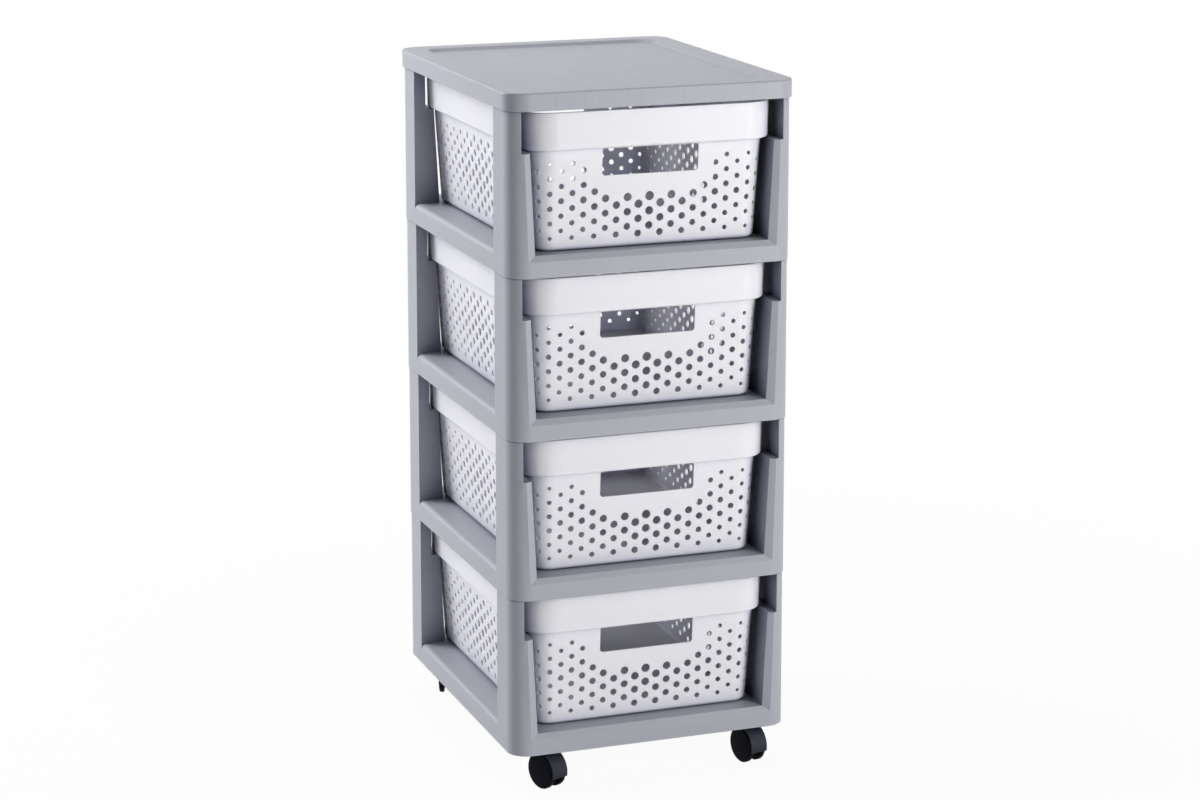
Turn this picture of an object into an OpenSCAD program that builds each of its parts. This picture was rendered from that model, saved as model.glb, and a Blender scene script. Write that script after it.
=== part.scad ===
// Four-drawer rolling tower.
// Four identical moulded frames stack on tenons, a flat lid closes the top,
// a perforated basket slides in each frame and twin-wheel casters swivel
// below the corners. Millimetres, Z up, front towards -Y, floor at Z = 0.

/* [Frames] */
// Outside width of a frame at its foot
frame_width = 301; // [280:1:340]
// Outside depth of a frame at its foot
frame_depth = 371.5; // [350:0.5:420]
// Rise from the foot of one frame to the next
frame_pitch = 164.4; // [150:0.2:200]
// Outside corner radius in plan at the foot
frame_corner = 21; // [17:0.5:26]
// How much each side leans in from foot to top
frame_lean = 0.8; // [0.4:0.1:1.5]
// Wall of the moulded rings and lid
frame_wall = 2.4; // [2:0.1:3]
// Wall of the hollow posts
post_wall = 2.8; // [2.6:0.1:3.6]
// Height of the base ring the basket slides on
base_height = 22; // [18:1:28]
// Rounding of the ring's outer top edge in the side windows
window_round = 5.4; // [3:0.2:7]
// Height of the bevel along the front and rear rails
rail_bevel = 6; // [3:0.2:7]
// Depth of that bevel
rail_bevel_depth = 4; // [2:0.5:6]
// Run of the flare on each post beside the opening
post_flare = 8.6; // [5:0.2:10]
// Lean of the posts' inner faces, per unit of height
post_lean = 0.05; // [0.03:0.005:0.06]
// Post face beside the rim of the basket
post_face = 13; // [11:0.5:16]
// Depth of a post, front to back
post_depth = 52; // [44:1:64]
// Width of the side shelves of the ring
shelf_width = 57; // [48:1:64]
// Depth of the front and rear shelves of the ring
shelf_depth = 47; // [42:1:56]
// Corner radius of the opening inside the ring
ring_corner = 20; // [14:1:28]
// Height of the ring's inner skirt above its foot
skirt_rise = 8; // [5:0.5:12]
// Height of the ribs' lower edge above the ring's foot
rib_rise = 5; // [4:0.5:10]
// Thickness of the ribs under frames and lid
rib_wall = 2; // [1.5:0.1:2.4]
// Ribs under each frame, along its depth
long_ribs = 3; // [1:1:5]
// Ribs under each frame, across its width
cross_ribs = 5; // [3:1:7]

/* [Stacking] */
// Height of the tenon on each post
tenon_height = 6; // [4:0.5:8]
// Length of the tenon
tenon_length = 22; // [14:1:26]
// Play between a tenon and what it enters
tenon_play = 0.4; // [0.2:0.05:0.8]

/* [Lid] */
// Height of the lid
lid_height = 18; // [14:0.2:22]
// Overhang of the lid beyond the foot of a frame
lid_overhang = 1.6; // [0.5:0.1:3]
// Rounding of the lid's top edge
lid_round = 1.8; // [1:0.1:2.4]
// Width of the raised border round the sunken field
lid_border = 22.5; // [16:0.5:30]
// Depth of the sunken field
lid_field = 3; // [1.5:0.5:4]
// Run of the slope down to the field
lid_slope = 4.5; // [2:0.5:8]
// Corner radius of the sunken field
lid_field_corner = 18; // [12:1:24]
// Depth of the ribs under the lid's plate
lid_rib_depth = 5; // [3:0.5:8]
// Ribs under the lid, along its depth
lid_long_ribs = 2; // [1:1:4]
// Ribs under the lid, across its width
lid_cross_ribs = 5; // [3:1:7]

/* [Baskets] */
// Gap between the basket's rim and a post
rim_gap = 4.7; // [3:0.1:6]
// Gap between the basket's body and a post
body_gap = 4.4; // [3.4:0.1:6]
// How far the rim sets back from the frame's front
front_setback = 10; // [8:0.2:16]
// Extra draw of the top basket, which sits a little forward
top_basket_forward = 6; // [0:0.2:8]
// Gap behind the basket
rear_gap = 9.2; // [6:0.2:16]
// Gap above the basket
top_gap = 3; // [1.5:0.1:6]
// Gap under the sliding foot
slide_gap = 0.2; // [0.1:0.05:0.3]
// Gap between the band's shoulder and the ledge in the posts
ledge_gap = 0.8; // [0.5:0.1:2]
// Height of the smooth rim band
rim_height = 37.5; // [28:0.5:46]
// How far the band stands out from the body
rim_step = 7.3; // [5:0.1:9]
// Outward lean of the band over its height
rim_lean = 0.5; // [0:0.1:1]
// Lean of the body walls, per unit of height
body_taper = 0.065; // [0.04:0.005:0.09]
// Corner radius of the body at its foot
body_corner = 19.5; // [16:0.5:24]
// Wall of the basket
basket_wall = 2.2; // [1.8:0.1:2.6]
// Rounding under the foot of the basket
foot_round = 5; // [3:0.5:7]
// Rounding under the band's shoulder
shoulder_round = 2.4; // [1:0.2:3]
// Rise of the shoulder's underside from the body to the band
shoulder_rise = 1.2; // [0.4:0.2:2]
// Rounding of the rim's upper edge
lip_round = 0.8; // [0.4:0.1:1]
// Width of the hand opening
handle_width = 101; // [80:1:110]
// Height of the hand opening
handle_height = 27; // [22:1:32]
// Lower corner radius of the hand opening
handle_corner = 3.5; // [2:0.5:6]
// Upper corner radius of the hand opening
handle_top_corner = 1.6; // [0.8:0.2:4]
// Solid strip between the hand opening and the band
handle_drop = 1.4; // [1:0.2:4]

/* [Perforation] */
// Spacing of the hole columns round the basket
column_step = 11.5; // [11:0.5:14]
// Spacing of the hole rows
row_step = 7.45; // [7:0.05:9]
// Number of hole rows
hole_rows = 11; // [5:2:11]
// Height of the lowest row above the basket's foot
lowest_row = 13; // [11:0.2:18]
// Largest hole, in the middle of each wall
hole_largest = 9.2; // [7:0.1:9.6]
// Smallest hole
hole_smallest = 3.4; // [2.4:0.1:4]
// Loss of diameter per millimetre away from the wall's middle
fade_sideways = 0.033; // [0.02:0.001:0.04]
// Loss of diameter per millimetre above or below the largest row
fade_upright = 0.05; // [0.02:0.005:0.07]
// Distance kept clear of holes round the hand opening
handle_margin = 16; // [8:1:20]

/* [Casters] */
// Wheel diameter
wheel_diameter = 38; // [34:0.5:46]
// Gap between the top of a wheel and the frame's foot
wheel_clearance = 4; // [4:0.5:12]
// Half of the free width between the two wheels
wheel_inner = 4.6; // [4.4:0.1:6]
// Width of a wheel's tread
wheel_tread = 5; // [4:0.1:6]
// Bulge of the wheel's outer face
wheel_dome = 1.4; // [0.6:0.1:2]
// Trail from the swivel axis to the axle
caster_trail = 10; // [9:0.5:12]
// Gap between wheel and hood
hood_gap = 0.6; // [0.5:0.1:1.2]
// Thickness of the hood
hood_wall = 1.2; // [1:0.1:2]
// Angle the hood reaches below the axle
hood_drop = 12; // [0:1:20]
// Angle of the hood above the axle, over the wheels
hood_sweep = 132; // [120:1:140]
// Angle by which the web stops short of the hood's front end
web_setback = 2; // [1:0.5:8]
// Radius of the web round the axle
web_disc = 14; // [8:0.5:16]
// Stem diameter in the frame
stem_diameter = 8; // [7.5:0.1:9]
// Stem diameter in the caster body
pivot_diameter = 6.2; // [5.8:0.1:7]
// Rim of the stem's flange, beyond the stem
flange_lip = 1.2; // [0.8:0.1:2]
// Thickness of the stem's flange
flange_height = 1; // [0.8:0.1:1.5]
// Height of the stem's foot above the axle
stem_lift = 3.5; // [2.5:0.5:6]
// Plastic round the stem in the caster body
sleeve_wall = 2.2; // [1.6:0.1:3]
// Plastic round the stem in the frame
boss_wall = 4.5; // [3:0.5:6]
// Radius of a wheel's hub
hub_radius = 5; // [3.5:0.5:7]
// Thickness of a wheel's rim
wheel_rim = 4.2; // [3:0.2:6]
// Depth of the hollow in a wheel's inner side
wheel_hollow = 2; // [1:0.2:2.4]
// Length of the stem inside the frame
stem_reach = 16; // [12:0.5:17]
// Axle diameter
axle_diameter = 3.6; // [3:0.1:4]
// Radial play of turning fits
turn_play = 0.06; // [0.03:0.01:0.09]
// Radial play of fixed fits
press_play = 0.02; // [0.01:0.01:0.03]
// Gap between a wheel and the body beside it
side_play = 0.4; // [0.3:0.05:0.6]
// Gap between the stem's flange and the caster body
swivel_gap = 0.3; // [0.2:0.05:0.5]
// Radius of the disc on top of a caster body
cap_radius = 7.5; // [6.5:0.5:9]
// Rounding of a wheel's edges
wheel_edge = 0.8; // [0.4:0.1:1.2]
// Distance of a stem from the frame's side
stem_from_side = 38.5; // [36:0.5:44]
// Distance of a stem from the frame's front or rear
stem_from_end = 28.5; // [28:0.5:36]
// Heading of the front left caster
heading_front_left = -68; // [-180:1:180]
// Heading of the front right caster
heading_front_right = -77; // [-180:1:180]
// Heading of the rear left caster
heading_rear_left = -110; // [-180:1:180]
// Heading of the rear right caster
heading_rear_right = -85; // [-180:1:180]

/* [Colours] */
// Moulded frames and lid
frame_colour = "#a9acb2";
// Baskets
basket_colour = "#f0f0f2";
// Casters
caster_colour = "#17181b";
// Stems and axles
steel_colour = "#b8bcc2";

/* [Hidden] */
$fn = 48;
// how far a cutter runs past the face it cuts
cut = 1;
// room left beyond the end of a stem or axle
end_gap = 0.5;
// chamfer at the top of a stem
stem_chamfer = 1;
// how far an axle ends inside the wheels' outer edges
axle_inset = 0.4;
// fine step where the rounded edge of a window meets the frame's side
edge_step = 0.25;
// how far the lid's pads set in from the edges of the posts
pad_inset = 1;
caster_height = wheel_diameter + wheel_clearance;
half_width = frame_width / 2;
half_depth = frame_depth / 2;
corner_x = half_width - frame_corner;
corner_y = half_depth - frame_corner;
stack_height = caster_height + 4 * frame_pitch;

// basket body and band, measured from the corner axes
basket_height = frame_pitch - base_height - slide_gap - top_gap;
band_foot = basket_height - rim_height;
body_top_corner = body_corner + body_taper * band_foot;
band_corner = body_top_corner + rim_step;
rim_half_width = half_width - post_face - rim_gap;
rim_half_depth = half_depth - (front_setback + rear_gap) / 2;
basket_x = rim_half_width - band_corner;
basket_y = rim_half_depth - band_corner;
basket_centre_y = (front_setback - rear_gap) / 2;
body_half_foot = basket_x + body_corner;

// opening between the posts, which follows the basket with its gaps
ledge_height = base_height + slide_gap + band_foot - ledge_gap;
channel_foot = body_half_foot + body_gap;
channel_ledge = channel_foot + post_lean * (ledge_height - base_height);
channel_rim = half_width - post_face;
window_half = half_depth - post_depth;

// perforation, laid out along a quarter of the basket's outline
row_radius = body_corner + body_taper * band_foot / 2;
corner_arc = row_radius * PI / 2;
quarter_run = basket_x + corner_arc + basket_y;
quarter_columns = 2 * round(quarter_run / (2 * column_step));
column_pitch = quarter_run / quarter_columns;
peak_row = (hole_rows - 1) / 2;
handle_top = band_foot - handle_drop;
handle_foot = handle_top - handle_height;

stem_x = half_width - stem_from_side;
stem_y = half_depth - stem_from_end;
boss_radius = stem_diameter / 2 + boss_wall;
wheel_radius = wheel_diameter / 2;
wheel_outer = wheel_inner + wheel_tread;
hood_radius = wheel_radius + hood_gap;
web_half = wheel_inner - side_play;
stem_foot = wheel_radius + stem_lift;

// ---- shared forms ----

// A flat outline with rounded corners, centred.
module rounded_plan(half_x, half_y, radius) {
    square([2 * half_x, 2 * (half_y - radius)], center = true);
    square([2 * (half_x - radius), 2 * half_y], center = true);
    for (x = [-1, 1], y = [-1, 1])
        translate([x * (half_x - radius), y * (half_y - radius)])
            circle(radius);
}

// Takes a profile, x outwards from a corner axis and y up, round a
// rounded rectangle whose corner axes stand at (axis_x, axis_y).
module swept_round(axis_x, axis_y) {
    for (x = [0, 1], y = [0, 1])
        mirror([x, 0, 0])
            mirror([0, y, 0])
                translate([axis_x, axis_y, 0])
                    rotate_extrude(angle = 90)
                        children();
    for (x = [0, 1])
        mirror([x, 0, 0])
            translate([axis_x, axis_y, 0])
                rotate([90, 0, 0])
                    linear_extrude(2 * axis_y)
                        children();
    for (y = [0, 1])
        mirror([0, y, 0])
            translate([-axis_x, axis_y, 0])
                rotate([90, 0, 90])
                    linear_extrude(2 * axis_x)
                        children();
}

// The leaning outer form of a frame between two heights.
module leaning_block(inset, low, high) {
    r_low = frame_corner - inset - frame_lean * low / frame_pitch;
    r_high = frame_corner - inset - frame_lean * high / frame_pitch;
    swept_round(corner_x, corner_y)
        polygon([[0, low], [r_low, low], [r_high, high], [0, high]]);
    translate([-corner_x, -corner_y, low])
        cube([2 * corner_x, 2 * corner_y, high - low]);
}

// Repeats a piece in all four corners.
module four_corners() {
    for (x = [0, 1], y = [0, 1])
        mirror([x, 0, 0])
            mirror([0, y, 0])
                children();
}

// ---- frame ----

// Outline between the posts: tapered beside the body, wider at the rim.
module channel_profile() {
    polygon([
        [-channel_foot, base_height],
        [channel_foot, base_height],
        [channel_ledge, ledge_height],
        [channel_rim, ledge_height],
        [channel_rim, frame_pitch + cut],
        [-channel_rim, frame_pitch + cut],
        [-channel_rim, ledge_height],
        [-channel_ledge, ledge_height]]);
}

// Side window down to the shelf, with the ring's edge rounded.
module window_profile() {
    edge_x = half_width - edge_step - window_round;
    edge_z = base_height - window_round;
    translate([channel_foot - cut, base_height])
        square([half_width - channel_foot + 2 * cut, frame_pitch]);
    difference() {
        translate([edge_x, edge_z])
            square(window_round + cut);
        translate([edge_x, edge_z])
            circle(window_round);
    }
}

// One side of the mouth of the opening. Its flare starts a little inside the
// post's inner face and leans with it. `from` and `to` are depths measured
// from the line where flare and bevel begin.
module mouth_side(from, to) {
    line_y = half_depth - rail_bevel_depth;
    flare = post_flare / rail_bevel_depth;
    translate([channel_foot, 0, base_height])
        rotate([0, atan(post_lean), 0])
            translate([0, 0, -frame_pitch / 2])
                linear_extrude(2 * frame_pitch)
                    polygon([
                        [-frame_width, -line_y - to],
                        [to * flare, -line_y - to],
                        [from * flare, -line_y - from],
                        [-frame_width, -line_y - from]]);
}

// Mouth of the front opening: flares at both posts and the rail's bevel,
// which meet in a mitre.
module mouth() {
    from = -2 * cut;
    to = rail_bevel_depth + 2 * cut;
    line_y = half_depth - rail_bevel_depth;
    slope = rail_bevel / rail_bevel_depth;
    intersection() {
        mouth_side(from, to);
        mirror([1, 0, 0])
            mouth_side(from, to);
        translate([-half_width, 0, 0])
            rotate([90, 0, 90])
                linear_extrude(frame_width)
                    polygon([
                        [-line_y - to, base_height - to * slope],
                        [-line_y - from, base_height - from * slope],
                        [-line_y - from, frame_pitch + cut],
                        [-line_y - to, frame_pitch + cut]]);
    }
}

// Space inside one post, open downwards into the ring.
module post_cavity() {
    low = base_height - frame_wall - cut;
    high = frame_pitch - post_wall;
    near_y = window_half + post_wall;
    far_y = half_depth - rail_bevel_depth - post_wall;
    intersection() {
        leaning_block(post_wall, low, high);
        translate([0, far_y, 0])
            rotate([90, 0, 0])
                linear_extrude(far_y - near_y)
                    polygon([
                        [channel_foot + post_wall, low],
                        [half_width, low],
                        [half_width, high],
                        [channel_rim + post_wall, high],
                        [channel_rim + post_wall, ledge_height - post_wall],
                        [channel_ledge + post_wall, ledge_height - post_wall]]);
    }
}

// Place of rib `i` of `count`, spread evenly between -half and half.
function rib_place(i, count, half) = half * (2 * i / (count + 1) - 1);

// Space under the ring, less its inner skirt, stem bosses and ribs.
module ring_hollow() {
    opening_x = half_width - shelf_width;
    opening_y = half_depth - shelf_depth;
    difference() {
        leaning_block(frame_wall, 0, base_height - frame_wall);
        translate([0, 0, skirt_rise])
            linear_extrude(base_height)
                rounded_plan(opening_x + frame_wall, opening_y + frame_wall, ring_corner + frame_wall);
        for (x = [-1, 1], y = [-1, 1])
            translate([x * stem_x, y * stem_y, -cut])
                cylinder(h = base_height, r = boss_radius);
        for (i = [1 : cross_ribs])
            translate([-half_width, rib_place(i, cross_ribs, window_half) - rib_wall / 2, rib_rise])
                cube([frame_width, rib_wall, base_height]);
        for (i = [0 : long_ribs + 1])
            translate([rib_place(i, long_ribs, stem_x) - rib_wall / 2, -half_depth, rib_rise])
                cube([rib_wall, frame_depth, base_height]);
    }
}

// Tenon on top of a post, which enters the piece above.
module tenon(play) {
    outer = half_width - frame_wall - tenon_play + play;
    inner = channel_rim + frame_wall + tenon_play - play;
    translate([inner, corner_y - tenon_length - play, 0])
        cube([outer - inner, tenon_length + 2 * play, tenon_height + play]);
}

module frame_body() {
    difference() {
        leaning_block(0, 0, frame_pitch);
        translate([0, half_depth + cut, 0])
            rotate([90, 0, 0])
                linear_extrude(frame_depth + 2 * cut)
                    channel_profile();
        for (x = [0, 1])
            mirror([x, 0, 0])
                translate([0, window_half, 0])
                    rotate([90, 0, 0])
                        linear_extrude(2 * window_half)
                            window_profile();
        mouth();
        mirror([0, 1, 0])
            mouth();
        translate([0, 0, -cut])
            linear_extrude(base_height + 2 * cut)
                rounded_plan(half_width - shelf_width, half_depth - shelf_depth, ring_corner);
        ring_hollow();
        four_corners()
            post_cavity();
        for (x = [-1, 1], y = [-1, 1])
            translate([x * stem_x, y * stem_y, -cut])
                cylinder(h = stem_reach + end_gap + cut, r = stem_diameter / 2 + press_play);
    }
    four_corners()
        translate([0, 0, frame_pitch])
            tenon(0);
}

module frame_at(tier) {
    color(frame_colour)
        translate([0, 0, caster_height + (tier - 1) * frame_pitch])
            frame_body();
}

// ---- lid ----

module top_lid() {
    lid_x = half_width + lid_overhang;
    lid_y = half_depth + lid_overhang;
    lid_corner = frame_corner + lid_overhang;
    field_x = lid_x - lid_border - lid_field_corner;
    field_y = lid_y - lid_border - lid_field_corner;
    plate_foot = lid_height - lid_field - frame_wall;
    pad_x = channel_rim + pad_inset;
    pad_y = window_half + pad_inset;
    color(frame_colour)
        translate([0, 0, stack_height])
            difference() {
                union() {
                    swept_round(corner_x, corner_y)
                        union() {
                            square([lid_corner, lid_height - lid_round]);
                            square([lid_corner - lid_round, lid_height]);
                            translate([lid_corner - lid_round, lid_height - lid_round])
                                circle(lid_round);
                        }
                    translate([-corner_x, -corner_y, 0])
                        cube([2 * corner_x, 2 * corner_y, lid_height]);
                }
                // hollow underside, less pads over the posts and ribs
                difference() {
                    translate([0, 0, -cut])
                        linear_extrude(plate_foot + cut)
                            rounded_plan(lid_x - frame_wall, lid_y - frame_wall, lid_corner - frame_wall);
                    four_corners()
                        translate([pad_x, pad_y, -2 * cut])
                            cube([half_width, half_depth, lid_height]);
                    for (i = [1 : lid_cross_ribs])
                        translate([-half_width, rib_place(i, lid_cross_ribs, half_depth), plate_foot])
                            translate([0, -rib_wall / 2, -lid_rib_depth])
                                cube([frame_width, rib_wall, lid_height]);
                    for (i = [1 : lid_long_ribs])
                        translate([rib_place(i, lid_long_ribs, half_width), -half_depth, plate_foot])
                            translate([-rib_wall / 2, 0, -lid_rib_depth])
                                cube([rib_wall, frame_depth, lid_height]);
                }
                four_corners()
                    translate([0, 0, -tenon_play])
                        tenon(tenon_play);
                // sunken field
                translate([0, 0, lid_height]) {
                    swept_round(field_x, field_y)
                        polygon([
                            [0, -lid_field],
                            [lid_field_corner - lid_slope, -lid_field],
                            [lid_field_corner, 0],
                            [lid_field_corner, cut],
                            [0, cut]]);
                    translate([-field_x, -field_y, -lid_field])
                        cube([2 * field_x, 2 * field_y, lid_field + cut]);
                }
            }
}

// ---- basket ----

// Points along an arc about (x, y), in degrees.
function arc(x, y, r, start, end, steps) = [
    for (i = [0 : steps])
        let (a = start + (end - start) * i / steps)
            [x + r * cos(a), y + r * sin(a)]];

// Half section of the basket from the corner axis outwards:
// floor, rounded foot, leaning wall, shoulder and rim band.
module basket_profile() {
    w = basket_wall;
    c = basket_wall / 2;
    s = shoulder_round;
    foot_x = body_corner - foot_round + body_taper * foot_round;
    neck = band_foot - shoulder_rise;
    neck_x = body_corner + body_taper * neck;
    band_x = band_corner;
    lip_x = band_corner + rim_lean - lip_round;
    polygon(concat(
        [[0, 0]],
        arc(foot_x, foot_round, foot_round, -90, 0, 4),
        [[neck_x, neck]],
        arc(band_x - s, band_foot + s, s, -90, 0, 3),
        arc(lip_x, basket_height - lip_round, lip_round, 0, 90, 2),
        [[lip_x + lip_round - w, basket_height],
            [band_x - w, band_foot + w + c],
            [band_x - w - c, band_foot + w],
            [neck_x - c, neck + w],
            [neck_x - w, neck + w - c]],
        arc(foot_x, foot_round, foot_round - w, 0, -90, 3),
        [[0, w]]));
}

function row_height(row) = lowest_row + row * row_step;
function hole_size(run, row) = max(hole_smallest,
    hole_largest - fade_sideways * min(run, quarter_run - run)
        - fade_upright * abs(row - peak_row) * row_step);
// Rows alternate between the odd and the even columns, and end below the band.
function has_hole(column, row) = (column + row) % 2 == (peak_row % 2)
    && row_height(row) < band_foot - hole_largest;
// True for a hole too near the hand opening.
function near_handle(run, row) = norm([
    max(0, run - handle_width / 2),
    max(0, handle_foot - row_height(row))]) < handle_margin;

// Cutters for the holes of the half wall towards +X +Y, whose outside lies
// within `face`. They begin at `from` along the wall and end at `flat`.
module wall_holes(flat, face, handled, from) {
    for (column = [0 : quarter_columns], row = [0 : hole_rows - 1]) {
        run = column * column_pitch;
        open = has_hole(column, row) && run >= from && run <= flat
            && !(handled && near_handle(run, row));
        if (open)
            translate([run, face + cut, row_height(row)])
                rotate([90, 0, 0])
                    cylinder(h = band_corner + cut, r = hole_size(run, row) / 2);
    }
}

// Cutters for the holes round the corner towards +X +Y, set radially,
// which lie no further than `reach` from an end of its arc.
module corner_holes(reach) {
    inside = body_corner - 2 * basket_wall;
    outside = body_top_corner + basket_wall;
    for (column = [0 : quarter_columns], row = [0 : hole_rows - 1]) {
        run = column * column_pitch - basket_x;
        open = has_hole(column, row) && run > 0 && run < corner_arc
            && min(run, corner_arc - run) < reach;
        if (open)
            translate([basket_x, basket_y, row_height(row)])
                rotate([0, 90, 90 - run / corner_arc * 90])
                    translate([0, 0, inside])
                        cylinder(h = outside - inside, r = hole_size(run + basket_x, row) / 2);
    }
}

// Cutter for the hand opening of the wall towards +Y.
module hand_opening() {
    half = handle_width / 2;
    low = handle_corner;
    high = handle_top_corner;
    translate([0, rim_half_depth + cut, 0])
        rotate([90, 0, 0])
            linear_extrude(band_corner) {
                translate([-half, handle_foot + low])
                    square([2 * half, handle_height - low - high]);
                translate([low - half, handle_foot])
                    square([2 * (half - low), low + cut]);
                translate([high - half, handle_top - high - cut])
                    square([2 * (half - high), high + cut]);
                for (x = [-1, 1]) {
                    translate([x * (half - low), handle_foot + low])
                        circle(low);
                    translate([x * (half - high), handle_top - high])
                        circle(high);
                }
            }
}

// Cutters for the half side wall towards +X +Y.
module side_holes(from) {
    mirror([1, -1, 0])
        wall_holes(basket_y, rim_half_width, false, from);
}

// The quarter towards +X +Y: half a front wall, half a side wall, the corner
// and the floor. A hole that lies across a corner's edge is cut in both pieces.
module basket_quarter() {
    near = hole_largest / 2;
    difference() {
        translate([0, basket_y, 0])
            rotate([90, 0, 90])
                linear_extrude(basket_x)
                    basket_profile();
        wall_holes(basket_x, rim_half_depth, true, 0);
        corner_holes(near);
        hand_opening();
    }
    difference() {
        translate([basket_x, basket_y, 0])
            rotate([90, 0, 0])
                linear_extrude(basket_y)
                    basket_profile();
        side_holes(0);
        corner_holes(near);
    }
    difference() {
        translate([basket_x, basket_y, 0])
            rotate_extrude(angle = 90)
                basket_profile();
        corner_holes(corner_arc);
        wall_holes(basket_x, rim_half_depth, true, basket_x - near);
        side_holes(basket_y - near);
    }
    cube([basket_x, basket_y, basket_wall]);
}

module basket_at(tier, forward) {
    color(basket_colour)
        translate([0, basket_centre_y - forward,
                caster_height + (tier - 1) * frame_pitch + base_height + slide_gap])
            four_corners()
                basket_quarter();
}

// ---- casters, at the swivel axis, trailing towards +X ----

module place_caster(x, y, heading) {
    translate([x * stem_x, y * stem_y, 0])
        rotate([0, 0, heading])
            children();
}

module place_axle() {
    translate([caster_trail, 0, wheel_radius])
        rotate([-90, 0, 0])
            children();
}

module stem() {
    shank = stem_reach - stem_chamfer;
    color(steel_colour) {
        translate([0, 0, stem_foot])
            cylinder(h = caster_height - stem_foot, r = pivot_diameter / 2);
        translate([0, 0, caster_height - flange_height])
            cylinder(h = flange_height, r = stem_diameter / 2 + flange_lip);
        translate([0, 0, caster_height])
            cylinder(h = shank, r = stem_diameter / 2);
        translate([0, 0, caster_height + shank])
            cylinder(h = stem_chamfer, r1 = stem_diameter / 2, r2 = stem_diameter / 2 - stem_chamfer);
    }
}

// Hooded body: a web between the wheels, a hood over their trailing
// side and top, and a disc round the stem.
module caster_body() {
    top = caster_height - flange_height - swivel_gap;
    cap_foot = wheel_diameter + hood_gap;
    sweep = hood_sweep + hood_drop;
    web_sweep = sweep - web_setback;
    sleeve = pivot_diameter / 2 + sleeve_wall;
    far = wheel_diameter;
    color(caster_colour)
        difference() {
            union() {
                place_axle()
                    translate([0, 0, -web_half])
                        linear_extrude(2 * web_half)
                            union() {
                                circle(web_disc);
                                translate([-caster_trail - sleeve, wheel_radius - top])
                                    square([2 * sleeve, top - wheel_radius - cut]);
                                intersection() {
                                    circle(hood_radius + hood_wall / 2);
                                    rotate(hood_drop)
                                        polygon([
                                            [0, 0], [far, 0], [far, -far],
                                            far * [cos(web_sweep), -sin(web_sweep)]]);
                                }
                            }
                place_axle()
                    rotate([0, 0, hood_drop])
                        mirror([0, 1, 0])
                            rotate_extrude(angle = sweep)
                                translate([hood_radius, -wheel_outer])
                                    square([hood_wall, 2 * wheel_outer]);
                translate([0, 0, cap_foot])
                    cylinder(h = top - cap_foot, r = cap_radius);
            }
            translate([0, 0, stem_foot - end_gap])
                cylinder(h = caster_height, r = pivot_diameter / 2 + turn_play);
            place_axle()
                translate([0, 0, -wheel_outer])
                    cylinder(h = 2 * wheel_outer, r = axle_diameter / 2 + press_play);
        }
}

module axle() {
    half = wheel_outer - axle_inset;
    color(steel_colour)
        place_axle()
            translate([0, 0, -half])
                cylinder(h = 2 * half, r = axle_diameter / 2);
}

// Wheel with a hollow inner side and a domed outer face, flat in the middle.
module wheel(side) {
    r = wheel_radius;
    e = wheel_edge;
    bore = axle_diameter / 2 + turn_play;
    bore_end = wheel_outer - axle_inset + end_gap;
    floor_z = wheel_inner + wheel_hollow;
    dome = [for (a = [0 : 16 : 80])
        [(r - e) * cos(a), wheel_outer + wheel_dome * sin(a)]];
    color(caster_colour)
        place_axle()
            mirror([0, 0, side])
                rotate_extrude()
                    polygon(concat(
                        [[bore, wheel_inner], [hub_radius, wheel_inner],
                            [hub_radius, floor_z], [r - wheel_rim, floor_z],
                            [r - wheel_rim, wheel_inner], [r - e, wheel_inner],
                            [r, wheel_inner + e], [r, wheel_outer - e]],
                        dome,
                        [[0, max([for (p = dome) p[1]])], [0, bore_end], [bore, bore_end]]));
}

// ---- assembly ----

top_lid();
frame_at(1);  // frame_1
frame_at(2);  // frame_2
frame_at(3);  // frame_3
frame_at(4);  // frame_4
basket_at(1, 0);  // basket_1
basket_at(2, 0);  // basket_2
basket_at(3, 0);  // basket_3
basket_at(4, top_basket_forward);  // basket_4
place_caster(-1, -1, heading_front_left) stem();  // stem_front_left
place_caster(1, -1, heading_front_right) stem();  // stem_front_right
place_caster(-1, 1, heading_rear_left) stem();  // stem_rear_left
place_caster(1, 1, heading_rear_right) stem();  // stem_rear_right
place_caster(-1, -1, heading_front_left) caster_body();  // caster_front_left
place_caster(1, -1, heading_front_right) caster_body();  // caster_front_right
place_caster(-1, 1, heading_rear_left) caster_body();  // caster_rear_left
place_caster(1, 1, heading_rear_right) caster_body();  // caster_rear_right
place_caster(-1, -1, heading_front_left) axle();  // axle_front_left
place_caster(1, -1, heading_front_right) axle();  // axle_front_right
place_caster(-1, 1, heading_rear_left) axle();  // axle_rear_left
place_caster(1, 1, heading_rear_right) axle();  // axle_rear_right
place_caster(-1, -1, heading_front_left) wheel(0);  // wheel_front_left_a
place_caster(-1, -1, heading_front_left) wheel(1);  // wheel_front_left_b
place_caster(1, -1, heading_front_right) wheel(0);  // wheel_front_right_a
place_caster(1, -1, heading_front_right) wheel(1);  // wheel_front_right_b
place_caster(-1, 1, heading_rear_left) wheel(0);  // wheel_rear_left_a
place_caster(-1, 1, heading_rear_left) wheel(1);  // wheel_rear_left_b
place_caster(1, 1, heading_rear_right) wheel(0);  // wheel_rear_right_a
place_caster(1, 1, heading_rear_right) wheel(1);  // wheel_rear_right_b
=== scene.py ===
# %% [markdown]
# # A rolling tower of perforated baskets
#
# Four grey frames are stacked under a flat lid. A white basket slides in each, and four twin-wheel
# casters carry the whole. The solids come ready from the CAD model, so this lesson is about finish
# and light: moulded plastic in grey, white and black, a little drawn steel, and a soft studio in
# which each of them reads well.
#
# We start by loading the solids and noting their box. Nothing made later may reach outside it.

# %% Load the tower
import math

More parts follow.
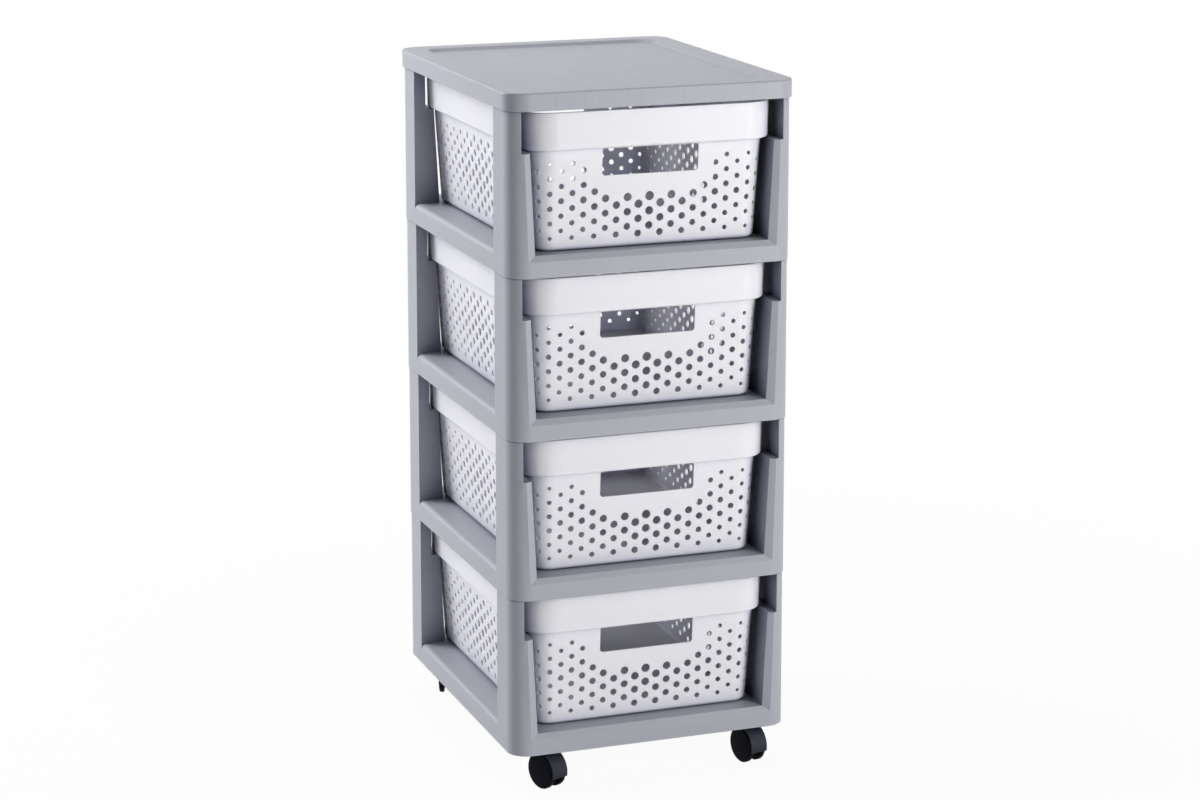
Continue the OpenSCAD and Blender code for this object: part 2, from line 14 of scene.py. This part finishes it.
import bpy
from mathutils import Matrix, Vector


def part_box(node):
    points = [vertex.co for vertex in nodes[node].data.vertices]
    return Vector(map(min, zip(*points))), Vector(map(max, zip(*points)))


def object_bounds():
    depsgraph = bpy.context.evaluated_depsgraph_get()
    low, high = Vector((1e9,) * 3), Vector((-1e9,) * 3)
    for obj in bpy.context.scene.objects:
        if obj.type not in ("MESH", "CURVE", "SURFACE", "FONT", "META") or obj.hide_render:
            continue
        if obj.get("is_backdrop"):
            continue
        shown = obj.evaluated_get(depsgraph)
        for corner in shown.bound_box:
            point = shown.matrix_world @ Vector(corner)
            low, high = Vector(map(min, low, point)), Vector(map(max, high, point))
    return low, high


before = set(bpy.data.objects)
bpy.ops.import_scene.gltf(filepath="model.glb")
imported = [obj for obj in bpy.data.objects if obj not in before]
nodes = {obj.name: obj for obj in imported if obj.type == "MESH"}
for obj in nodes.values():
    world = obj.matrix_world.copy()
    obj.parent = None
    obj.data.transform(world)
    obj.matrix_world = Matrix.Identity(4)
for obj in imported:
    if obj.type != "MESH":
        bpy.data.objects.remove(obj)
tower_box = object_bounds()
low, high = tower_box
size = high - low
print(f"{len(nodes)} pieces, {size.x:.3f} x {size.y:.3f} x {size.z:.3f} m")

# %% [markdown]
# ## Writing shaders as sums
#
# A material is a graph of nodes. Drawn by hand it is easy to read, but in code each link takes a
# line and the idea is lost. So one small class stands for an output of the graph. Adding,
# multiplying or comparing two of them adds the Math node that does it, and a plain number may
# stand on either side.
#
# Every other node comes from one function, which takes the node's type, its settings and what goes
# into its sockets.

# %% An output that takes part in sums
class Wire:
    """One output of a shader graph, which takes part in sums as a number does."""

    def __init__(self, socket):
        self.socket = socket
        self.tree = socket.id_data

    def into(self, entry):
        """Links this output to an entry of a node that is already there."""
        self.tree.links.new(self.socket, entry)

    def __add__(self, other):
        return maths("ADD", self, other)

    def __radd__(self, other):
        return maths("ADD", other, self)

    def __sub__(self, other):
        return maths("SUBTRACT", self, other)

    def __rsub__(self, other):
        return maths("SUBTRACT", other, self)

    def __mul__(self, other):
        return maths("MULTIPLY", self, other)

    def __rmul__(self, other):
        return maths("MULTIPLY", other, self)

    def __pow__(self, other):
        return maths("POWER", self, other)

    def __rpow__(self, other):
        return maths("POWER", other, self)

    def __lt__(self, other):
        return maths("LESS_THAN", self, other)

    def __gt__(self, other):
        return maths("GREATER_THAN", self, other)


def maths(operation, first, second):
    """A Math node in the graph of whichever value is a Wire."""
    tree = first.tree if isinstance(first, Wire) else second.tree
    return add_node(tree, "Math", {"operation": operation}, {0: first, 1: second})


print("sums and comparisons ready")

# %% One function for every other node
def add_node(tree, kind, settings=None, sockets=None, output=0):
    """Adds a node, sets it up, fills its sockets and returns one output as a Wire."""
    made = tree.nodes.new("ShaderNode" + kind)
    for name, value in (settings or {}).items():
        setattr(made, name, value)
    for name, value in (sockets or {}).items():
        if isinstance(value, Wire):
            value.into(made.inputs[name])
        else:
            made.inputs[name].default_value = value
    return Wire(made.outputs[output])


def new_material(name):
    """A material, its graph and its Principled shader."""
    material = bpy.data.materials.new(name)
    material.use_nodes = True
    tree = material.node_tree
    return material, tree, tree.nodes["Principled BSDF"]


print("nodes and materials ready")

# %% [markdown]
# ## A few words that every finish uses
#
# Most of what follows is said with four short functions: soft noise at a chosen scale, one
# coordinate of a place, a value taken from one range to another, and a colour made lighter or
# darker. A colour goes through a Vector Math node, because a Math node would turn it grey.

# %% Noise, coordinates, ranges and shades
def speckle(place, per_metre, detail=2.0, roughness=0.5):
    """Soft noise between 0 and 1, with so many features to the metre."""
    sockets = {"Vector": place, "Scale": per_metre, "Detail": detail, "Roughness": roughness}
    return add_node(place.tree, "TexNoise", sockets=sockets)


def along(vector, axis):
    """One coordinate of a vector."""
    return add_node(vector.tree, "SeparateXYZ", sockets={"Vector": vector}, output=axis)


def remap(value, old, new, interpolation="LINEAR"):
    """Takes a value from an old range to a new one, and holds it at both ends."""
    sockets = {
        "Value": value,
        "From Min": old[0],
        "From Max": old[1],
        "To Min": new[0],
        "To Max": new[1],
    }
    return add_node(value.tree, "MapRange", {"interpolation_type": interpolation}, sockets)


def shaded(colour, shade):
    """A colour, lighter or darker where the shade is over or under 1."""
    sockets = {0: colour, "Scale": shade}
    return add_node(shade.tree, "VectorMath", {"operation": "SCALE"}, sockets, "Vector")


print("noise, coordinates, ranges and shades ready")

# %% [markdown]
# ## Edges and corners
#
# A moulded edge has a small radius that catches the light as a thin line, while the edges of the
# solids are sharp. They could be bevelled in the mesh, but the solids are to stay as they are, and
# a basket has hundreds of holes. The Bevel node only rounds the normal near an edge. How far it
# leaves the true normal tells where the edges are, so one node gives the glint of the rounded
# normal and a mask, both for a painted highlight that lightens the colour along the edge and for
# the polish that hands give an edge.
#
# Corners are the opposite: little light gets into them, so they are darkened with painted shade.
# The
# Ambient Occlusion node measures how open a place is. The painted shade is kept cool, because what
# light gets in there is bluish, and it is slight on surfaces that face up.

# %% Find the edges and paint shade into the corners
# How many rays the Bevel and Ambient Occlusion nodes cast. More would be smoother, and slower.
PROBES = 6
# Cosines of how far a rounded normal has turned, where an edge begins and where it is full.
FLAT, TURNED = 0.995, 0.8
# The upward part of a normal, where the painted corner shade starts to weaken and where it is
# weakest.
FACING_UP = (0.2, 0.6)
# The share of the painted corner shade that is left on surfaces that face up.
SHELF_SHARE = 0.15
# Exponents that leave more of the green and the blue than of the red in the painted corner shade.
GREEN_SHADE_POWER, BLUE_SHADE_POWER = 0.97, 0.75


def rounded_edges(tree, radius):
    """The surface normal, rounded near every edge."""
    return add_node(tree, "Bevel", {"samples": PROBES}, {"Radius": radius})


def edge_mask(rounded):
    """1 on a rounded edge and 0 on the flat, from how far the rounded normal has turned."""
    normal = add_node(rounded.tree, "NewGeometry", output="Normal")
    sockets = {0: rounded, 1: normal}
    agree = add_node(rounded.tree, "VectorMath", {"operation": "DOT_PRODUCT"}, sockets, "Value")
    return remap(agree, (FLAT, TURNED), (0.0, 1.0))


def facing(tree, axis):
    """How far the surface faces along an axis, from -1 to 1."""
    return along(add_node(tree, "NewGeometry", output="True Normal"), axis)


def painted_corner_shade(tree, reach, depth):
    """Painted shade: white in the open, a cool dark in corners. A greater depth makes them darker.
    """
    opening = add_node(tree, "AmbientOcclusion", {"samples": PROBES}, {"Distance": reach}, "AO")
    shown = opening ** remap(facing(tree, "Z"), FACING_UP, (depth, depth * SHELF_SHARE))
    parts = {"X": shown, "Y": shown ** GREEN_SHADE_POWER, "Z": shown ** BLUE_SHADE_POWER}
    return add_node(tree, "CombineXYZ", sockets=parts)


print("edges and corners ready")

# %% [markdown]
# ## What moulded plastic looks like
#
# A moulded part is never one flat colour. The steel of the mould leaves a fine grain in the
# surface, the pigment is not spread quite evenly, the surface waves a little where ribs stand
# behind it, and hands polish some patches more than others. The grain and the waves are bumps, the
# pigment is a slight change of colour, and the polish is a change of roughness.
#
# All of it could be painted on images, but then every piece would have to be unwrapped. Noise in
# the piece's own coordinates needs no unwrapping, and it stays with a basket as it slides. Each of
# the three is a function of its own, which the recipe for a whole plastic then puts together.

# %% Pigment, polish and relief
# Clouds, flecks, patches and waves are counted in features to the metre.
PIGMENT_CLOUDS = 14.0
PIGMENT_FLECKS = 900.0
FLECK_SHARE = 0.6
HANDLED_PATCHES = 38.0
HANDLED_SWING = 0.16
EDGE_POLISH = 0.08
MOULD_WAVES = 18.0
WAVE_HEIGHT = 0.00025


def pigment(place, mottle):
    """A shade close to 1, a little more or less where the pigment lies thick or thin."""
    clouds = speckle(place, PIGMENT_CLOUDS, detail=5.0, roughness=0.6)
    flecks = speckle(place, PIGMENT_FLECKS, detail=1.0)
    return 1.0 + (clouds - 0.5) * mottle + (flecks - 0.5) * (mottle * FLECK_SHARE)


def polish(place, roughness, edges):
    """Roughness that wanders over handled patches and is lower along the edges."""
    patches = speckle(place, HANDLED_PATCHES, detail=4.0, roughness=0.65)
    return roughness + (patches - 0.5) * HANDLED_SWING - edges * EDGE_POLISH


def relief(place, grain, grain_size, rounded):
    """A normal with mould grain and long waves. Sizes and heights are in metres."""
    height = speckle(place, 1.0 / grain_size) * grain
    height = height + speckle(place, MOULD_WAVES, detail=1.0) * WAVE_HEIGHT
    sockets = {"Strength": 1.0, "Distance": 1.0, "Height": height, "Normal": rounded}
    return add_node(place.tree, "Bump", sockets=sockets)


print("pigment, polish and relief ready")

# %% The recipe for a moulded plastic
def moulded_plastic(
    name,
    colour,
    roughness,
    gloss,
    grain,
    grain_size,
    edge_radius,
    edge_highlight,
    mottle,
    shade_reach,
    shade_depth,
    marks=None,
):
    """A plastic whose grain, pigment and polish vary, with painted highlights on its edges
    and painted shade in its corners. Sizes are in metres.

    marks takes the place and the shade so far, and returns the marked shade.
    """
    material, tree, shader = new_material(name)
    shader.inputs["Specular IOR Level"].default_value = gloss
    place = add_node(tree, "TexCoord", output="Object")
    rounded = rounded_edges(tree, edge_radius)
    edges = edge_mask(rounded)

    # The edge mask lightens the colour along every edge as a painted highlight.
    shade = pigment(place, mottle) + edges * edge_highlight
    if marks:
        shade = marks(place, shade)
    # Painted shade darkens the corners, with a cool cast.
    sockets = {0: shaded(colour, shade), 1: painted_corner_shade(tree, shade_reach, shade_depth)}
    corner_shaded = add_node(tree, "VectorMath", {"operation": "MULTIPLY"}, sockets, "Vector")

    corner_shaded.into(shader.inputs["Base Color"])
    polish(place, roughness, edges).into(shader.inputs["Roughness"])
    relief(place, grain, grain_size, rounded).into(shader.inputs["Normal"])
    return material


print("recipe ready")

# %% [markdown]
# ## Painted lines at the seams, the rails and the lid
#
# The frames and the lid show more than grain. Where one frame stands on the next there is a thin
# line of painted shadow and dust, and just above it a painted highlight stands for the light that
# the lower edge of the upper frame catches. Along the side rails, from post to post, a painted
# highlight runs along the rail's top edge. The lid's skirt has shallow sinks in front of the ribs
# behind it, which are painted as faint lines of shade.
#
# They are too fine to be worth cutting into the mesh, and a line of lighter or darker colour is
# enough to show them. All of them lie at known heights and spacings, so each is a line in the
# piece's own coordinates. A line that repeats is made by folding the coordinate to and fro with a
# Ping-Pong, which gives the distance from the nearest repeat.

# %% Draw a line, once or at every step
SQUARE_ENOUGH = 0.8


def line(distance, half_width):
    """1 in the middle of a line, 0 at its half width and beyond."""
    return remap(distance, (0.0, half_width), (1.0, 0.0))


def repeated_line(coordinate, start, pitch, half_width):
    """Lines at start and at every pitch from it, both ways."""
    return line(maths("PINGPONG", coordinate - start, pitch / 2), half_width)


def squarely(tree, axis):
    """1 where the surface faces along an axis, either way, and 0 elsewhere."""
    part = facing(tree, axis)
    return part * part > SQUARE_ENOUGH


print("lines ready")

# %% Mark the frames and the lid
tier_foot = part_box("frame_1")[0].z
tier_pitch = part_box("frame_2")[0].z - tier_foot

# Heights and widths in metres. The last value of each mark is how much it lightens or darkens.
# The glint and the rail line are painted highlights; the seam is painted shadow with dust.
GLINT_ABOVE_FOOT, GLINT_HALF_WIDTH, GLINT_LIFT = 0.0008, 0.0007, 0.14
SEAM_BELOW_FOOT, SEAM_HALF_WIDTH, SEAM_DARK = 0.0003, 0.0009, 0.60
RAIL_HIGHLIGHT_ABOVE_FOOT, RAIL_HIGHLIGHT_HALF_WIDTH, RAIL_HIGHLIGHT_LIFT = 0.0162, 0.0006, 0.14
POSTS_START = 0.1332
SINK_PITCH, SINK_HALF_WIDTH, SINK_DARK = 0.0147, 0.0008, 0.07


def tier_line(place, above_foot, half_width):
    """A level line at the same height above the foot of every frame."""
    return repeated_line(along(place, "Z"), tier_foot + above_foot, tier_pitch, half_width)


def frame_marks(place, shade):
    """The painted shadow and dust under each frame, the painted glint above it, and the painted
    highlight along the top edge of its side rails.
    """
    glint = tier_line(place, GLINT_ABOVE_FOOT, GLINT_HALF_WIDTH)
    seam = tier_line(place, -SEAM_BELOW_FOOT, SEAM_HALF_WIDTH)
    rail_highlight = tier_line(place, RAIL_HIGHLIGHT_ABOVE_FOOT, RAIL_HIGHLIGHT_HALF_WIDTH)
    depth = along(place, "Y")
    between_posts = depth * depth < POSTS_START**2
    rail_highlight = rail_highlight * squarely(place.tree, "X") * between_posts
    # Adds the painted highlights and takes away the painted shadow and dust.
    return shade + glint * GLINT_LIFT - seam * SEAM_DARK + rail_highlight * RAIL_HIGHLIGHT_LIFT


def lid_marks(place, shade):
    """Painted shade along the sinks over the ribs, on the front and the back of the skirt."""
    sinks = repeated_line(along(place, "X"), 0.0, SINK_PITCH, SINK_HALF_WIDTH)
    # The sinks are painted as faint darker lines of shade.
    return shade - sinks * squarely(place.tree, "Y") * SINK_DARK


print(f"marks ready, a tier every {tier_pitch * 1000:.1f} mm from {tier_foot * 1000:.1f} mm up")

# %% [markdown]
# ## The frames and the lid
#
# Both are the same cool mid grey with a fine satin grain. The lid is a little smoother, and its
# long rim has a rounder edge and a stronger painted highlight, which show as a light line all
# round.
# It has no deep corners in view, so the painted corner shade reaches less far than on the frames,
# whose posts and shelves lie close to the baskets.

# %% Mix the greys
satin_grey = {
    "colour": (0.411, 0.4215, 0.450),
    "gloss": 0.35,
    "grain": 0.000010,
    "grain_size": 0.00035,
    "mottle": 0.035,
}
frame_grey = moulded_plastic(
    "frame_grey",
    roughness=0.42,
    edge_radius=0.0007,
    edge_highlight=0.10,
    shade_reach=0.035,
    shade_depth=0.9,
    marks=frame_marks,
    **satin_grey,
)
lid_grey = moulded_plastic(
    "lid_grey",
    roughness=0.40,
    edge_radius=0.0010,
    edge_highlight=0.30,
    shade_reach=0.02,
    shade_depth=0.8,
    marks=lid_marks,
    **satin_grey,
)
print("two greys mixed")

# %% [markdown]
# ## The baskets
#
# The baskets come from a smoother mould, and their white has a faint blue cast. Their walls are
# thin, so some light gets into the plastic. A Translucent shader would let it straight through, as
# paper does, but plastic spreads it sideways and lets it out nearby, which is subsurface
# scattering. It keeps the shadow side of each hole and rim from going dead, and since blue travels
# a little further in this plastic, the shadows stay cool.

# %% Mix the milky white
basket_white = moulded_plastic(
    "basket_white",
    colour=(0.90, 0.895, 0.935),
    roughness=0.34,
    gloss=0.40,
    grain=0.000004,
    grain_size=0.0005,
    edge_radius=0.0004,
    edge_highlight=0.06,
    mottle=0.015,
    # Light painted shade in the corners.
    shade_reach=0.022,
    shade_depth=0.4,
)
milky = {
    "Subsurface Weight": 0.4,
    "Subsurface Radius": (1.0, 1.0, 1.35),
    "Subsurface Scale": 0.005,
}
for entry, value in milky.items():
    basket_white.node_tree.nodes["Principled BSDF"].inputs[entry].default_value = value
print("milky white mixed")

# %% [markdown]
# ## The casters
#
# The hoods are a coarse black that has picked up scuffs and dust from the floor, so their colour
# is the most uneven of all. The wheels are a smoother and deeper black, so one black for both would
# not do. Both have little gloss: in a white room even a faint mirror image of the walls would turn
# black into grey.

# %% Mix the blacks
caster_black = moulded_plastic(
    "caster_black",
    colour=(0.030, 0.033, 0.044),
    roughness=0.50,
    gloss=0.12,
    grain=0.00006,
    grain_size=0.0006,
    edge_radius=0.0004,
    edge_highlight=0.1,
    mottle=0.7,
    # Deep painted shade in the corners of the hoods.
    shade_reach=0.03,
    shade_depth=1.8,
)
wheel_black = moulded_plastic(
    "wheel_black",
    colour=(0.006, 0.007, 0.012),
    roughness=0.48,
    gloss=0.03,
    grain=0.000010,
    grain_size=0.0004,
    edge_radius=0.0004,
    # A strong painted highlight along the edges of the wheels.
    edge_highlight=0.5,
    mottle=0.15,
    shade_reach=0.02,
    shade_depth=0.6,
)
print("two blacks mixed")

# %% [markdown]
# ## Drawn steel
#
# The stems and axles are cut from drawn wire. Drawing leaves fine lines along the wire, so the
# noise is stretched: it changes quickly across a stem and slowly along it. Stretched highlights
# would do the same, but on pins this small lines of colour and roughness are enough. On the axles,
# which lie level, the lines run across, but the wheels hide them.

# %% Mix the steel
STEEL = (0.55, 0.56, 0.58)
ACROSS_THE_WIRE, ALONG_THE_WIRE = 4000.0, 120.0
DARKEST_LINE, LINE_CONTRAST = 0.9, 0.2
SMOOTHEST_LINE, LINE_ROUGHNESS = 0.24, 0.2


def drawn_steel():
    """Bright wire with drawing lines in its colour and its roughness."""
    material, tree, shader = new_material("drawn_steel")
    shader.inputs["Metallic"].default_value = 1.0
    place = add_node(tree, "TexCoord", output="Object")
    stretch = (ACROSS_THE_WIRE, ACROSS_THE_WIRE, ALONG_THE_WIRE)
    stretched = add_node(tree, "Mapping", sockets={"Vector": place, "Scale": stretch})
    lines = speckle(stretched, 1.0, detail=3.0)
    shade = DARKEST_LINE + lines * LINE_CONTRAST
    roughness = SMOOTHEST_LINE + lines * LINE_ROUGHNESS
    shaded(STEEL, shade).into(shader.inputs["Base Color"])
    roughness.into(shader.inputs["Roughness"])
    return material


steel = drawn_steel()
print("steel mixed")

# %% [markdown]
# ## Dress the pieces
#
# Each piece's name says what it is, so its finish follows from how its name starts. Only the
# material slots change: the solids stay as the CAD model made them.

# %% Give each piece its finish
finish_of = {
    "top_lid": lid_grey,
    "frame": frame_grey,
    "basket": basket_white,
    "caster": caster_black,
    "wheel": wheel_black,
    "stem": steel,
    "axle": steel,
}
for name, piece in nodes.items():
    start = name if name in finish_of else name.split("_")[0]
    for slot in piece.material_slots:
        slot.material = finish_of[start]
print(f"{len(nodes)} pieces dressed")

# %% [markdown]
# ## The floor
#
# The studio is white all round. A floor that is lit until it is white would also light the tower
# from below, so the floor is a pale diffuse surface that the camera sees mostly as plain white. A
# little of the lit surface is kept round the tower, and with it the soft shadow under the casters.
# Further out the floor fades to pure white, so it has no edge.
#
# The trick is the Light Path node, which knows what a ray of light is looking for. Rays from the
# camera, and those that carry a reflection or pass through glass, find white. The diffuse rays
# that light the tower find the pale floor.

# %% Lay the floor
FLOOR_HALF_WIDTH = 30.0
FLOOR_COLOUR = (0.80, 0.80, 0.80, 1.0)
WHITE = (1.0, 1.0, 1.0, 1.0)
WHITE_NEAR_TOWER = 0.95
FADE_START, FADE_END = 0.35, 1.5


def seen_by_viewer(tree):
    """1 for rays from the camera, from gloss or through glass, 0 for diffuse light."""
    rays = ("Camera", "Glossy", "Transmission")
    camera_ray, glossy_ray, glass_ray = (
        add_node(tree, "LightPath", output=f"Is {ray} Ray") for ray in rays
    )
    return add_node(tree, "Clamp", sockets={"Value": camera_ray + glossy_ray + glass_ray})


def floor_material():
    """Pale and matt to diffuse light, nearly white to the viewer, and pure white far out."""
    material, tree, shader = new_material("studio_floor")
    shader.inputs["Base Color"].default_value = FLOOR_COLOUR
    shader.inputs["Roughness"].default_value = 0.9
    shader.inputs["Specular IOR Level"].default_value = 0.1
    glow = add_node(tree, "Emission", sockets={"Color": WHITE, "Strength": 1.0})
    place = add_node(tree, "TexCoord", output="Object")
    reach = add_node(tree, "VectorMath", {"operation": "LENGTH"}, {0: place}, "Value")
    white = remap(reach, (FADE_START, FADE_END), (WHITE_NEAR_TOWER, 1.0), "SMOOTHSTEP")
    sockets = {0: seen_by_viewer(tree) * white, 1: Wire(shader.outputs["BSDF"]), 2: glow}
    mixed = add_node(tree, "MixShader", sockets=sockets)
    mixed.into(tree.nodes["Material Output"].inputs["Surface"])
    return material


def studio_floor():
    """A wide level square at the height where the wheels stand."""
    mesh = bpy.data.meshes.new("studio_floor")
    half = FLOOR_HALF_WIDTH
    corners = [(-half, -half, 0.0), (half, -half, 0.0), (half, half, 0.0), (-half, half, 0.0)]
    mesh.from_pydata(corners, [], [(0, 1, 2, 3)])
    mesh.materials.append(floor_material())
    floor = bpy.data.objects.new("studio_floor", mesh)
    bpy.context.scene.collection.objects.link(floor)
    return floor


floor = studio_floor()
floor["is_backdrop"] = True
print(f"floor laid, {2 * FLOOR_HALF_WIDTH:.0f} m square")

# %% [markdown]
# ## The light
#
# Three softboxes shape the tower. One stands at the front right and lights the basket fronts. One
# stands at the left, well behind, and lights the open side. The rounded corner between them faces
# neither, so it falls darker and shows its roundness. A third hangs overhead for the lid. An
# evenly white room alone would be simpler, but it would leave every side equally bright.
#
# A softbox's level is the brightness that it gives a white surface that faces it. A lamp spreads
# its power so that this brightness is the power over the square of pi times the distance, and the
# power that a level needs is worked out from that.

# %% Hang the softboxes
middle = (low + high) / 2


def direction(azimuth, elevation):
    """Unit vector from the tower towards a heading. Azimuth 0 is the front, 90 the right."""
    a, e = math.radians(azimuth), math.radians(elevation)
    return Vector((math.sin(a) * math.cos(e), -math.cos(a) * math.cos(e), math.sin(e)))


def softbox(name, azimuth, elevation, distance, width, height, level, tint=(1.0, 1.0, 1.0)):
    """A rectangular lamp that faces the middle of the tower."""
    data = bpy.data.lights.new(name, "AREA")
    data.shape = "RECTANGLE"
    data.size, data.size_y = width, height
    data.energy = level * (math.pi * distance) ** 2
    data.color = tint
    box = bpy.data.objects.new(name, data)
    heading = direction(azimuth, elevation)
    box.location = middle + heading * distance
    box.rotation_mode = "QUATERNION"
    box.rotation_quaternion = heading.to_track_quat("Z", "Y")
    bpy.context.scene.collection.objects.link(box)


softbox("front_right", azimuth=30, elevation=9, distance=2.6, width=0.9, height=1.8, level=0.76)
softbox(
    "left_rear",
    azimuth=-133,
    elevation=26,
    distance=2.6,
    width=1.2,
    height=1.8,
    level=0.97,
    tint=(0.98, 0.99, 1.03),
)
softbox("overhead", azimuth=180, elevation=74, distance=2.4, width=1.2, height=1.2, level=0.26)
print("three softboxes hung")

# %% [markdown]
# ## The room
#
# What the softboxes don't reach is filled by the room. To diffuse light it is a faint violet-blue,
# as pale shadows are in a white studio, and to the viewer it is white, like the floor.

# %% Fill the room
SHADOW_FILL = (0.62, 0.58, 1.0, 1.0)
FILL_STRENGTH = 0.09

world = bpy.data.worlds.new("studio")
bpy.context.scene.world = world
world.use_nodes = True
room = world.node_tree
backdrop = room.nodes["Background"]
backdrop.inputs["Color"].default_value = WHITE
backdrop.inputs["Strength"].default_value = 1.0
fill = add_node(room, "Background", sockets={"Color": SHADOW_FILL, "Strength": FILL_STRENGTH})
sockets = {0: seen_by_viewer(room), 1: fill, 2: Wire(backdrop.outputs["Background"])}
seen = add_node(room, "MixShader", sockets=sockets)
seen.into(room.nodes["World Output"].inputs["Surface"])
print("room filled")

# %% [markdown]
# ## The camera
#
# A long lens from a little above and to the left shows the front, the open side and the lid, and
# keeps the uprights nearly parallel. The Standard view transform shows each colour as it was mixed.

# %% Place the camera
SENSOR_MM, LENS_MM = 36.0, 91.566
TURN_RIGHT, LOOK_DOWN = 20.109, 13.927

camera_data = bpy.data.cameras.new("camera")
camera_data.sensor_width = SENSOR_MM
camera_data.lens = LENS_MM
camera = bpy.data.objects.new("camera", camera_data)
camera.location = (-1.0686, -2.9473, 1.1372)
camera.rotation_euler = (math.radians(90 - LOOK_DOWN), 0.0, math.radians(-TURN_RIGHT))
bpy.context.scene.collection.objects.link(camera)
bpy.context.scene.camera = camera
bpy.context.scene.view_settings.view_transform = "Standard"
print(f"camera {camera.location.length:.2f} m away with a {LENS_MM:.0f} mm lens")

# %% [markdown]
# ## Measure and finish
#
# Nothing was added to the solids, so the box of the dressed tower should be the box that we noted
# at the start.

# %% Measure and finish
dressed_low, dressed_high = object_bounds()
print(f"{(dressed_high - dressed_low).z:.3f} m high when dressed, {size.z:.3f} m as loaded")
